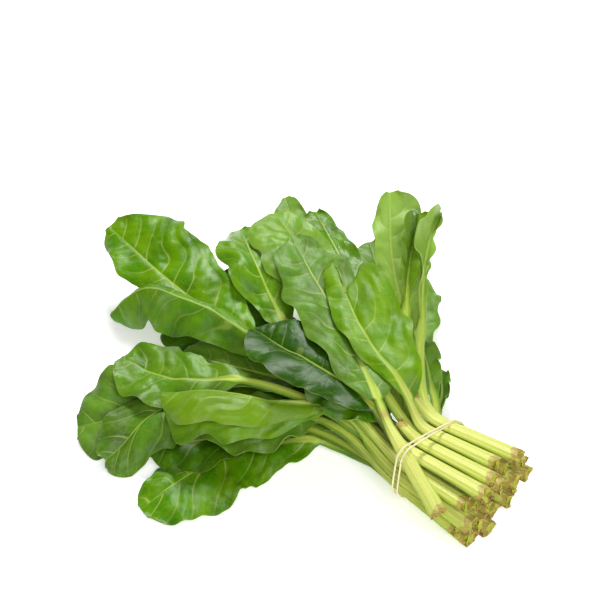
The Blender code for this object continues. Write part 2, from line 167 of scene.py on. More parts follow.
# Each leaf: its place in the bundle, the points its midrib runs through from the blade's
# base to its tip (x, y, height), the blade's width, its roll about the midrib, the angle at
# which the left and right half leave the midrib, how much each curls on from there, the
# ruffle of its edge, how slowly it widens, how wide each half is for the other, where each
# half ends in a notch instead of at the tip, and how far it leans towards the tip there.
# Left is the table's -Y side for a leaf that points to -X.
LEAVES = (
    Leaf("leaf_far_left", 0, 1, ((-141, -52, 10), (-176, -88, 16), (-216, -134, 5)), 74, -20,
         taper=0.75),
    Leaf("leaf_right_low", 0, 3, ((-66, 70, 8), (-97, 107, 12), (-129, 152, 12)), 40, -10),
    Leaf("leaf_back_low", 0, 2, ((-130, 60, 8), (-215, 108, 20), (-266, 142, 32)), 34, -5),
    Leaf("leaf_front_low", 0, 0, ((-76, -30, 6), (-111, -69, 5), (-129, -152, 1)), 64, 0,
         (-6, -10), (-10, -20), halves=(1.15, 0.75)),
    Leaf("leaf_shadow", 1, 0, ((-115, -47, 8), (-129, -76, 6), (-158, -117, 2)), 52, 0),
    Leaf("leaf_drooping", 1, 1, ((-125, -45, 18), (-166, -84, 24), (-176, -142, 2)), 60, 0,
         (5, 12), (-40, -20), halves=(0.95, 0.8), lean=(45, 25)),
    Leaf("leaf_left_mid", 1, 2, ((-125, -2, 18), (-187, -11, 22), (-243, -21, 18)), 56, -8),
    Leaf("leaf_inner_low", 1, 3, ((-42, 6, 18), (-95, -12, 22), (-165, -36, 22)), 54, -5,
         taper=0.3),
    Leaf("leaf_right_rolled", 1, 4, ((-26, 42, 16), (-34, 58, 16), (-51, 79, 16)), 15, -10,
         (25, 25), (10, 10)),
    Leaf("leaf_tucked", 2, 0, ((-76, -29, 20), (-108, -58, 18), (-142, -84, 12)), 46, 0),
    Leaf("leaf_crumpled", 2, 2, ((-110, -12, 28), (-151, -31, 32), (-197, -47, 28)), 52, 0),
    Leaf("leaf_left_long", 2, 1, ((-137, -46, 36), (-172, -70, 34), (-226, -81, 26)), 52, -12),
    Leaf("leaf_inner_mid", 2, 3, ((-125, 4, 34), (-175, 20, 36), (-230, 46, 36)), 46, -5),
    Leaf("leaf_back_right", 2, 4, ((-79, 64, 36), (-125, 100, 44), (-163, 130, 46)), 38, 0),
    Leaf("leaf_right_wavy", 2, 5, ((-30, 42, 30), (-50, 60, 32), (-73, 80, 32)), 26, -15,
         wave=4.0, halves=(0.85, 0.85)),
    Leaf("leaf_top_left", 3, 1, ((-160, -12, 40), (-240, -13, 50), (-329, 1, 50)), 70, -12,
         (8, 14), (-25, -18), 3.0, 0.45, (0.62, 1.22)),
    Leaf("leaf_upper_left", 3, 2, ((-145, 14, 44), (-188, 31, 50), (-246, 66, 48)), 50, -10),
    Leaf("leaf_folded", 3, 0, ((-66, -24, 40), (-117, -56, 42), (-170, -90, 38)), 66, -90,
         (58, 80), (-10, 60), 2.0, 0.8, (1.15, 0.85)),
    Leaf("leaf_back_shiny", 3, 3, ((-86, 45, 42), (-145, 84, 50), (-216, 125, 52)), 50, 0,
         halves=(1.1, 0.55)),
    Leaf("leaf_upright", 3, 4, ((-70, 62, 54), (-112, 92, 82), (-146, 130, 104)), 56, -5,
         halves=(0.45, 1.05)),
    Leaf("leaf_curled_tip", 4, 0,
         ((-126, -16, 50), (-190, -22, 56), (-238, -41, 54), (-258, -62, 30)), 58, 0,
         (-35, -35), (-20, -30), 4.0, halves=(0.9, 0.7)),
    Leaf("leaf_under_top", 4, 1, ((-36, -9, 44), (-64, -14, 46), (-98, -12, 44)), 44, 0,
         taper=0.3, halves=(1.0, 1.25)),
    Leaf("leaf_round", 4, 2, ((-96, 26, 46), (-163, 62, 52), (-231, 91, 52)), 66, -12,
         taper=0.6, halves=(1.05, 0.8)),
    Leaf("leaf_upright_folded", 4, 3, ((-78, 66, 80), (-95, 91, 93), (-113, 124, 104)), 34, 20,
         (50, 50), (10, 10), halves=(1.3, 0.75)),
    Leaf("leaf_upright_pale", 4, 4, ((-60, 61, 66), (-82, 92, 84), (-98, 130, 98)), 30, 30,
         (40, 60), (10, 10), taper=0.4, halves=(1.2, 0.3)),
    Leaf("leaf_glossy", 5, 0, ((-42, -13, 52), (-98, -14, 58), (-155, -12, 54)), 54, 0,
         (30, 30), (-40, -40), taper=0.35),
)

# The last two lie over everything else, the cut stalks too.
UPPER_LEAVES = (
    Leaf("leaf_centre", None, 0, ((-41, -10, 58), (-107, 26, 68), (-191, 69, 66)), 56, -12,
         taper=0.35, halves=(0.98, 1.0)),
    Leaf("leaf_top", 5, 2, ((-26, 6, 56), (-75, 20, 68), (-141, 60, 81)), 50, -15,
         (10, 10), (-25, -25), 2.5, 0.5, (0.6, 1.6), (1.0, 0.73), (0.0, 76.0)),
)

# The stalk of leaf_centre lies across the outside of the bundle, under the band.
OUTER_STALK_CUT = (40.0, -46.0, 23.0)
OUTER_STALK_BAND = (0.0, -31.5, 46.5)
OUTER_STALK_PITCH = 10.5

# Stalks cut off above the band: place in the bundle and where they end.
Stub = namedtuple("Stub", "name row column end")
STUBS = (
    Stub("stalk_stub_left", 5, 1, (-24, -7, 47)),
    Stub("stalk_stub_right", 5, 3, (-34, 18, 50)),
)

# How each blade looks, from 0 to 1: dark, yellow, greyed with painted sheen, glossy, and how its
# veins show.
LOOKS = {
    "leaf_far_left": (0.4, 0.15, 0.22, 0.3, 0.7),
    "leaf_right_low": (0.5, 0.1, 0.3, 0.3, 0.5),
    "leaf_back_low": (0.35, 0.2, 0.4, 0.4, 0.5),
    "leaf_front_low": (0.05, 0.35, 0.0, 0.7, 1.0),
    "leaf_shadow": (0.8, 0.2, 0.0, 0.7, 0.5),
    "leaf_drooping": (0.6, 0.15, 0.15, 0.5, 0.9),
    "leaf_left_mid": (0.7, 0.2, 0.0, 0.7, 0.5),
    "leaf_inner_low": (0.8, 0.2, 0.0, 0.7, 0.4),
    "leaf_right_rolled": (0.6, 0.1, 0.2, 0.7, 0.2),
    "leaf_tucked": (0.6, 0.2, 0.2, 0.8, 0.4),
    "leaf_crumpled": (0.6, 0.2, 0.2, 0.9, 0.4),
    "leaf_left_long": (0.3, 0.3, 0.15, 0.7, 0.7),
    "leaf_inner_mid": (0.7, 0.2, 0.0, 0.7, 0.4),
    "leaf_back_right": (0.5, 0.1, 0.35, 0.4, 0.3),
    "leaf_right_wavy": (0.4, 0.3, 0.3, 0.3, 0.3),
    "leaf_top_left": (0.1, 0.45, 0.0, 1.0, 0.9),
    "leaf_upper_left": (0.1, 0.45, 0.05, 0.8, 0.8),
    "leaf_folded": (0.1, 0.5, 0.1, 0.8, 0.6),
    "leaf_back_shiny": (0.35, 0.3, 0.1, 0.8, 0.6),
    # The upright blades' yellow and greyed shares also paint the light that shines through them.
    "leaf_upright": (0.0, 0.8, 0.9, 0.2, 0.5),
    "leaf_curled_tip": (0.1, 0.3, 0.1, 0.7, 0.6),
    "leaf_under_top": (0.6, 0.2, 0.0, 0.6, 0.4),
    "leaf_round": (0.1, 0.35, 0.35, 0.5, 0.9),
    "leaf_upright_folded": (0.0, 1.0, 0.2, 0.5, 0.4),
    "leaf_upright_pale": (0.0, 0.5, 1.0, 0.3, 0.3),
    "leaf_glossy": (1.0, 0.05, 0.0, 0.75, 0.3),
    "leaf_centre": (0.45, 0.0, 0.27, 0.35, 0.8),
    "leaf_top": (0.15, 0.75, 0.0, 0.35, 0.7),
    "stalk_stub_left": (0.2, 0.5, 0.0, 0.5, 0.0),
    "stalk_stub_right": (0.2, 0.5, 0.0, 0.5, 0.0),
}

# The bruise across the outer stalk, from its cut end.
BRUISE_AT = {"leaf_centre": 84.0}

# The elastic: in how many directions the stalks' outline is sought, its points in one turn, how
# far its middle lies off the stalks and over its other turn for its thickness, where round the
# bundle its turns cross, and how much darker it is where it is worn.
OUTLINE_TURNS = 720
OUTLINE_POINTS = 160
BAND_OFF_STALKS = 0.55
BAND_OVER_ITSELF = 0.9
BAND_CROSSING = 0.38
BAND_SHADED = 0.85

# The floor and the lights, in metres.
FLOOR_HALF_WIDTH = 6.0
LIT_MIDDLE = (0.0, 0.0, 0.05)
KEY_PLACE, KEY_SIZE = (-0.62, 0.66, 1.15), 0.4
FILL_PLACE, FILL_SIZE = (0.75, -0.5, 0.9), 0.8

# The photograph's camera: its lens, and what it looks at in the table's own axes.
CAMERA_LENS = 70.0
CAMERA_TARGET = (-113.9, -7.7, 105.3)


def whole(name, description, default, least):
    return bpy.props.IntProperty(name=name, description=description, default=default, min=least)


def number(name, description, default, **more):
    return bpy.props.FloatProperty(name=name, description=description, default=default, **more)


def tint(name, description, default):
    return bpy.props.FloatVectorProperty(
        name=name, description=description, default=default, subtype="COLOR"
    )


class LeafSettings(bpy.types.PropertyGroup):
    columns: whole("Columns", "Points across a leaf", 49, 13)
    stalk_rows: whole("Stalk Rows", "Points along a stalk", 30, 8)
    blade_rows: whole("Blade Rows", "Points along a blade", 90, 12)
    sheet: number("Sheet", "Thickness of the blade in mm", 0.6, min=0.3)
    vein_spacing: number("Vein Spacing", "From one side vein to the next in mm", 19.0)
    pucker: number("Pucker", "Height of the swelling between veins in mm", 0.8)
    groove: number("Groove", "Depth of a side vein's furrow in mm", 0.2)
    crumple: number("Crumple", "Height of the slow waves in a blade in mm", 1.7)
    frill: number("Frill", "Height of the fine waves along the edge in mm", 0.9)
    dark: tint("Dark Green", "Upper face of the oldest blades", (0.012, 0.064, 0.001))
    fresh: tint("Fresh Green", "Upper face of the other blades", (0.066, 0.228, 0.001))
    yellow: tint("Yellow Green", "Upper face of the youngest blades", (0.155, 0.315, 0.001))
    # Partly the dull blades' own greyed tone, partly painted sheen from the sky and painted light
    # through the upright blades.
    grey_tone_and_painted_light: tint("Bloom", "Greyed green of the dull blades", (0.27, 0.45, 0.06))
    underside: tint("Underside", "Lower face of a blade", (0.150, 0.28, 0.006))
    vein: tint("Vein", "Midrib and side veins", (0.44, 0.56, 0.12))


class StalkSettings(bpy.types.PropertyGroup):
    ribs: number("Ribs", "Height of the lengthwise ribs in mm", 0.1)
    ragged: number("Ragged", "How uneven the cut is in mm", 1.2)
    pale: tint("Pale", "Whitest streaks of a stalk", (0.72, 0.73, 0.20))
    green: tint("Green", "Greenest streaks of a stalk", (0.44, 0.56, 0.07))
    cut: tint("Cut", "Moist tissue at the cut", (0.42, 0.48, 0.035))
    tan: tint("Tan", "Dry tissue near the cut", (0.46, 0.34, 0.085))
    brown: tint("Brown", "Oldest patches at the cut", (0.20, 0.09, 0.025))


class ElasticSettings(bpy.types.PropertyGroup):
    thick: number("Thickness", "Of the elastic in mm", 1.35, min=0.3)
    apart: number("Strands Apart", "Between its two turns in mm", 4.0)
    tilt: number("Tilt", "How much nearer the cut the right side lies in mm", 2.2)
    colour: tint("Colour", "Of the elastic", (0.92, 0.84, 0.48))


class StageSettings(bpy.types.PropertyGroup):
    azimuth: number("Azimuth", "Camera's turn round the bunch", math.radians(42), subtype="ANGLE")
    elevation: number(
        "Elevation", "Camera's angle above the table", math.radians(42), subtype="ANGLE"
    )
    distance: number(
        "Distance", "From camera to target", 0.7933, subtype="DISTANCE", unit="LENGTH"
    )
    floor: tint("Floor", "Colour of the floor", (0.93, 0.93, 0.93))
    table_glow: number("Table Glow", "Light that the white table gives back from below", 0.42)
    sky: number("Sky", "Strength of the light from all round", 0.10)
    key: number("Key Light", "Power of the large soft light", 22.0, unit="POWER")
    fill: number("Fill Light", "Power of the second soft light", 12.0, unit="POWER")


def settings(kind):
    return getattr(bpy.context.scene, kind)


def smooth_step(x):
    x = np.clip(x, 0.0, 1.0)
    return x * x * (3 - 2 * x)


def run_along(path):
    return np.concatenate([[0], np.cumsum(np.linalg.norm(np.diff(path, axis=0), axis=1))])


def smooth_path(points, heading, per_span=24):
    """A curve through the given points that sets out along heading."""
    given = np.array(points, float)
    knots = run_along(given)
    slopes = np.gradient(given, knots, axis=0)
    slopes[0] = heading
    path = []
    for k in range(len(given) - 1):
        span = knots[k + 1] - knots[k]
        f = np.linspace(0, 1, per_span, endpoint=False)[:, None]
        path.append(
            (2 * f**3 - 3 * f**2 + 1) * given[k]
            + (f**3 - 2 * f**2 + f) * span * slopes[k]
            + (3 * f**2 - 2 * f**3) * given[k + 1]
            + (f**3 - f**2) * span * slopes[k + 1]
        )
    return np.concatenate([*path, given[-1:]])


def at_lengths(path, lengths):
    run = run_along(path)
    return np.stack([np.interp(lengths, run, path[:, k]) for k in range(3)], axis=1)


def softened(field, times, axis):
    """A field with each value eased towards its two neighbours, its ends kept."""
    field = np.moveaxis(np.array(field, float), axis, 0)
    for _ in range(times):
        field[1:-1] = (field[:-2] + 2 * field[1:-1] + field[2:]) / 4
    return np.moveaxis(field, 0, axis)


def slot(row, column):
    """A stalk's place at the cut and at the band, and the room it has across."""
    if row is None:
        return np.array(OUTER_STALK_CUT), np.array(OUTER_STALK_BAND), OUTER_STALK_PITCH
    pitch = ROW_WIDTH[row] / ROW_STALKS[row]
    y = BUNDLE_Y + (column + 0.5) * pitch - ROW_WIDTH[row] / 2
    band = np.array([0.0, y, FIRST_ROW_AT_BAND + ROW_PITCH_AT_BAND * row])
    cut = np.array([CUT_X, y * WIDER_AT_CUT, FIRST_ROW_AT_CUT + ROW_PITCH_AT_CUT * row])
    ragged = 1 + CUT_RAGGED / CUT_X * math.sin(2.7 * row + 1.9 * column)
    return band + (cut - band) * ragged, band, pitch


def stalk_path(cut, band, onward):
    """The midrib from the cut end: straight under the band, then on through the points."""
    heading = (band - cut) / np.linalg.norm(band - cut)
    past = band + STRAIGHT_PAST_BAND * heading
    return np.concatenate([[cut, band], smooth_path([past, *onward], heading)])


def stalk_width(past_band, pitch):
    flare = 1 + (WIDER_AT_CUT - 1) * np.clip(-past_band, 0, None) / CUT_X
    slimmer = np.interp(past_band, STALK_SLIMMER_AT, STALK_SLIMMER_TO)
    return STALK_SHARE_OF_PITCH * pitch * flare * slimmer


def frames(points, roll, soft):
    """Along, left and up vectors at each station, turned by roll (degrees, for each station)."""
    along = softened(np.gradient(points, axis=0), soft, 0)
    along /= np.linalg.norm(along, axis=1, keepdims=True)
    left = np.cross([0.0, 0.0, 1.0], along)
    left /= np.linalg.norm(left, axis=1, keepdims=True)
    up = np.cross(along, left)
    turn = np.radians(roll)[:, None]
    rolled = np.cos(turn) * left + np.sin(turn) * up
    return along, rolled, np.cross(along, rolled)


def out_of_midrib(sign, lean, along, left):
    return sign * np.cos(lean)[:, None] * left + np.sin(lean)[:, None] * along


def section(reach, width, fold, curl):
    """Across and up of points at a reach from the midrib, where the edge is at width."""
    turn = np.radians(np.where(np.abs(curl) < 1, 1.0, curl))
    start = np.radians(fold)
    end = start + turn * reach / width
    across = width / turn * (np.sin(end) - np.sin(start))
    up = width / turn * (np.cos(start) - np.cos(end))
    return across, up


class Growth:
    """A leaf or a cut stalk: its midrib's path, and its shape at any stations along it."""

    def __init__(self, grown):
        self.grown = grown
        self.bladed = isinstance(grown, Leaf)
        cut, band, self.pitch = slot(grown.row, grown.column)
        onward = grown.blade if self.bladed else [grown.end]
        self.path = stalk_path(cut, band, onward)
        run = run_along(self.path)
        self.at_band, self.end = run[1], run[-1]
        nearest = np.argmin(np.linalg.norm(self.path - np.array(onward[0]), axis=1))
        self.base = run[nearest] if self.bladed else self.end
        self.free_from = FREE_FROM_X if grown.row is not None else 2 * CUT_X
        seed = np.random.default_rng(sum(map(ord, grown.name)))
        self.draws = [(2.4 + 1.2 * seed.random(), 2 * math.pi * seed.random()) for _ in range(2)]

    def cage_lengths(self):
        past = self.at_band + STRAIGHT_PAST_BAND
        if not self.bladed:
            return np.array([0, self.at_band, past, (past + self.end) / 2, self.end])
        up_stalk = np.linspace(0, 1, CAGE_STALK_STATIONS + 1)[1:-1]
        steps = np.linspace(0, 1, CAGE_BLADE_STATIONS + 1)
        up_blade = steps * (1.2 - 0.2 * steps)
        stalk = past + up_stalk * (self.base - past)
        blade = self.base + up_blade * (self.end - self.base)
        return np.concatenate([[0, self.at_band, past], stalk, blade])

    def fine_lengths(self, stalk_rows, blade_rows):
        if not self.bladed:
            return np.linspace(0, self.end, stalk_rows)
        steps = np.linspace(0, 1, blade_rows)
        blade = self.base + steps * (1.08 - 0.08 * steps) * (self.end - self.base)
        return np.concatenate([np.linspace(0, self.base, stalk_rows)[:-1], blade])

    def share(self, lengths):
        """0 at the band, 1 at the blade's base, 2 at its tip; 0 all along a cut stalk."""
        if not self.bladed:
            return np.zeros(len(lengths))
        return np.where(
            lengths < self.base,
            (lengths - self.at_band) / (self.base - self.at_band),
            1 + (lengths - self.base) / (self.end - self.base),
        )

    def blade_width(self, t):
        """Half the blade's width at t, from 0 at its base to 1 at its tip."""
        taper = self.grown.taper
        peak = (taper / (2 + taper)) ** (taper / 4) * math.sqrt(2 / (2 + taper))
        return self.grown.width / 2 * t**taper * np.sqrt(1 - np.clip(t, 0, 0.993) ** 4) / peak

    def half_blade(self, side, t):
        """The width of one half at t, and its lean: a notched half ends while still wide."""
        end = self.grown.notch[side]
        reached = t / end * (NOTCHED_AT if end < 1 else 1)
        width = np.where(t <= end, self.blade_width(np.minimum(reached, 1)), 0)
        lean = np.radians(self.grown.lean[side]) * np.clip(t / end, 0, 1) ** 3
        return width * self.grown.halves[side], lean

    def half(self, lengths, side):
        """Of the left (0) or right (1) half: width, rib, fold, curl, ruffle and lean."""
        share = self.share(lengths)
        stalk = stalk_width(lengths - self.at_band, self.pitch)
        if not self.bladed:
            still = np.zeros(len(lengths))
            return stalk, 0.4 * stalk, still, still + STALK_CURL, still, still
        leaf = self.grown
        t = np.clip(share - 1, 0, 1)
        on_blade = smooth_step((share - 0.75) * 3)
        stalk = stalk + (NECK_HALF_WIDTH - stalk) * smooth_step((share - 0.4) / 0.6)
        cycles, phase = self.draws[side]
        ruffle = leaf.wave * np.sin(2 * math.pi * cycles * t + phase) * smooth_step(t * 4)
        lobes = 1 + LOBES * np.sin(2 * math.pi * (cycles + 0.6) * t - phase)
        blade, lean = self.half_blade(side, t)
        neck = NECK_HALF_WIDTH * (1 - t) + TIP_HALF_WIDTH * t
        width = np.where(share < 1, stalk, np.maximum(blade * lobes, neck))
        rib = np.where(share < 1, 0.4 * width, RIB_AT_BASE + (RIB_AT_TIP - RIB_AT_BASE) * t)
        curl = STALK_CURL * (1 - on_blade) + leaf.curl[side] * on_blade
        fold = leaf.fold[side] * on_blade
        return width, np.minimum(rib, 0.5 * width), fold, curl, ruffle, lean

    def fine_half(self, lengths, side):
        """As half, with the edge straight between the cage's stations on each side of a notch."""
        width, rib, fold, curl, ruffle, lean = self.half(lengths, side)
        if self.bladed and self.grown.notch[side] < 1:
            cage = self.cage_lengths()
            after = np.argmax(cage > self.base + self.grown.notch[side] * (self.end - self.base))
            ends = cage[after - 1 : after + 1]
            end_width, _, _, _, _, end_lean = self.half(ends, side)
            between = (lengths > ends[0]) & (lengths < ends[1])
            width = np.where(between, np.interp(lengths, ends, end_width), width)
            lean = np.where(between, np.interp(lengths, ends, end_lean), lean)
        return width, rib, fold, curl, ruffle, lean

    def midrib(self, lengths, soft=0):
        points = softened(at_lengths(self.path, lengths), soft, 0)
        share = self.share(lengths)
        roll = self.grown.roll * smooth_step((share - 0.3) * 1.4) if self.bladed else 0 * share
        return points, *frames(points, roll, soft)

    def centre_thick(self, lengths):
        share = self.share(lengths)
        centre = np.interp(lengths - self.at_band, STALK_THICK_AT, STALK_THICK_TO)
        centre = centre + (NECK_THICK - centre) * smooth_step((share - 0.2) / 0.8)
        t = np.clip(share - 1, 0, 1)
        return np.where(share < 1, centre, NECK_THICK + (TIP_THICK - NECK_THICK) * t)

    def cage(self):
        """The frame's own lattice of 7 points across, the thickness below each, and their reach.

        The reach is the signed distance from the midrib over the leaf.
        """
        lengths = self.cage_lengths()
        points, along, left, up = self.midrib(lengths)
        lattice, reach = np.zeros((7, len(points), 3)), np.zeros((7, len(points)))
        lattice[3] = points
        for side, sign in SIDES:
            width, rib, fold, curl, ruffle, lean = self.half(lengths, side)
            outward = out_of_midrib(sign, lean, along, left)
            for k, out in enumerate((rib, (rib + width) / 2, width)):
                across, rise = section(out, width, fold, curl)
                rise = rise + (0.0, 0.25, 1.0)[k] * ruffle
                column = 3 + sign * (k + 1)
                lattice[column] = points + across[:, None] * outward + rise[:, None] * up
                reach[column] = sign * out
        centre = self.centre_thick(lengths)
        edge = np.array(STALK_EDGE_SHARE)[:, None] * centre
        thick = edge + (CAGE_BLADE_THICK - edge) * smooth_step((self.share(lengths) - 0.8) * 4)
        thick[3] = centre
        return lattice, np.maximum(thick, CAGE_BLADE_THICK), reach


def facing(lattice):
    """The upper face's normal at each point of a lattice."""
    normal = np.cross(np.gradient(lattice, axis=1), np.gradient(lattice, axis=0))
    return normal / np.linalg.norm(normal, axis=2, keepdims=True)


def lower_face(lattice, thick):
    return lattice - facing(lattice) * thick[..., None]


def spread(lattice, count):
    """Points spread evenly over every patch of the lattice, one block for each patch."""
    f = np.linspace(0, 1, count)[None, None, :, None, None]
    g = np.linspace(0, 1, count)[None, None, None, :, None]
    corner = lattice[:, :, None, None, :]
    low = corner[:-1, :-1] * (1 - g) + corner[:-1, 1:] * g
    high = corner[1:, :-1] * (1 - g) + corner[1:, 1:] * g
    return low * (1 - f) + high * f


class Relief:
    """Height of what already lies on the table, over a grid of cells."""

    def __init__(self, cell, gap, count):
        self.cell, self.gap, self.count = cell, gap, count
        self.low = np.array(RELIEF_CORNER)
        self.height = np.zeros((int(RELIEF_WIDTH / cell), int(RELIEF_WIDTH / cell)))

    def cells(self, points):
        index = ((points[..., :2] - self.low) / self.cell).astype(int)
        return tuple(np.clip(index[..., k], 1, self.height.shape[k] - 2) for k in range(2))

    def add(self, lattice, thick):
        for face in (lattice, lower_face(lattice, thick)):
            points = spread(face, self.count).reshape(-1, 3)
            np.maximum.at(self.height, self.cells(points), points[:, 2])

    def under(self, points):
        """Height at each point, taking the highest of its cell and the eight round it."""
        x, y = self.cells(points)
        near = [self.height[x + i, y + j] for i in (-1, 0, 1) for j in (-1, 0, 1)]
        return np.max(near, axis=0)

    def need(self, lattice, thick, free_from):
        """How far each corner of a patch has to rise for the patch to clear what lies below."""
        need = np.zeros(lattice.shape[:2])
        for face in (lattice, lower_face(lattice, thick)):
            points = spread(face, self.count)
            below = self.under(points)
            short = np.where(below > 0, below + self.gap, 0.0) - points[..., 2]
            short = np.where((points[..., 0] < free_from) | (below == 0), short, 0.0)
            patch = short.max(axis=(2, 3))
            for i in (0, 1):
                for j in (0, 1):
                    here = need[i : i + patch.shape[0], j : j + patch.shape[1]]
                    np.maximum(here, patch, out=here)
        return need


def cage_lifts(lattice, need, free_from):
    flat = lattice.reshape(-1, 3)
    apart = np.linalg.norm(flat[:, None, :2] - flat[None, :, :2], axis=2)
    rise = (need.reshape(-1)[None, :] - BEND_LIMIT * apart).max(axis=1).reshape(need.shape)
    return np.where(lattice[..., 0] < free_from + 8, np.maximum(rise, 0), 0)


def fine_lifts(lattice, need, free_from):
    """As cage_lifts, from the greatest need in each block of points, and without steps."""
    rows, columns = need.shape
    starts = [(i, j) for i in range(0, rows, BLOCK) for j in range(0, columns, BLOCK)]
    wants = [(need[i : i + BLOCK, j : j + BLOCK].max(), i, j) for i, j in starts]
    wants = [want for want in wants if want[0] > 0]
    if not wants:
        return np.zeros(need.shape)
    height = np.array([want[0] for want in wants])
    blocks = [lattice[i : i + BLOCK, j : j + BLOCK, :2].reshape(-1, 2) for _, i, j in wants]
    centre = np.array([block.mean(axis=0) for block in blocks])
    radius = np.array([np.linalg.norm(b - c, axis=1).max() for b, c in zip(blocks, centre)])
    apart = np.linalg.norm(lattice.reshape(-1, 1, 3)[..., :2] - centre[None], axis=2)
    rise = (height - BEND_LIMIT * np.clip(apart - radius, 0, None)).max(axis=1)
    rise = np.maximum(rise, 0).reshape(need.shape)
    rise = softened(softened(rise, 6, 1), 3, 0)
    eased = smooth_step((free_from + 14 - lattice[..., 0]) / 14)
    return rise * eased


@functools.lru_cache
def cages():
    """Each leaf and cut stalk as the frame has it, and how far it was lifted, by name."""
    relief = Relief(CAGE_CELL, CAGE_GAP, 10)
    found = {}
    for grown in (*LEAVES, *STUBS, *UPPER_LEAVES):
        growth = Growth(grown)
        lattice, thick, reach = growth.cage()
        need = relief.need(lattice, thick, growth.free_from)
        lifts = cage_lifts(lattice, need, growth.free_from)
        lattice[..., 2] += lifts
        relief.add(lattice, thick)
        found[grown.name] = Cage(growth, lattice, thick, reach, lifts)
    return found


@functools.lru_cache
def frame_shift():
    """From the table's own axes to the frame's, in mm, checked on every leaf."""
    shifts = []
    for name, cage in cages().items():
        faces = (cage.lattice, lower_face(cage.lattice, cage.thick))
        both = np.concatenate(faces).reshape(-1, 3)
        middle = (both.min(axis=0) + both.max(axis=0)) / 2
        low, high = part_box(name)
        shifts.append(np.array((low + high) / 2) / MM - middle)
    shift = np.median(shifts, axis=0)
    if np.abs(shifts - shift).max() > FRAME_TOLERANCE:
        raise RuntimeError("a leaf of the frame doesn't lie where this script lays it")
    return shift


def waves(seed, along, across, longest, shortest, count=9):
    """A smooth random field about 0, from waves between the two lengths in mm."""
    draw = np.random.default_rng(seed)
    field = np.zeros(np.broadcast(along, across).shape)
    for _ in range(count):
        length = shortest * (longest / shortest) ** draw.random()
        angle, phase = math.pi * draw.random(), 2 * math.pi * draw.random()
        way = along * math.cos(angle) + across * math.sin(angle)
        field += np.sin(2 * math.pi * way / length + phase) * length / longest
    return field / math.sqrt(count / 2)


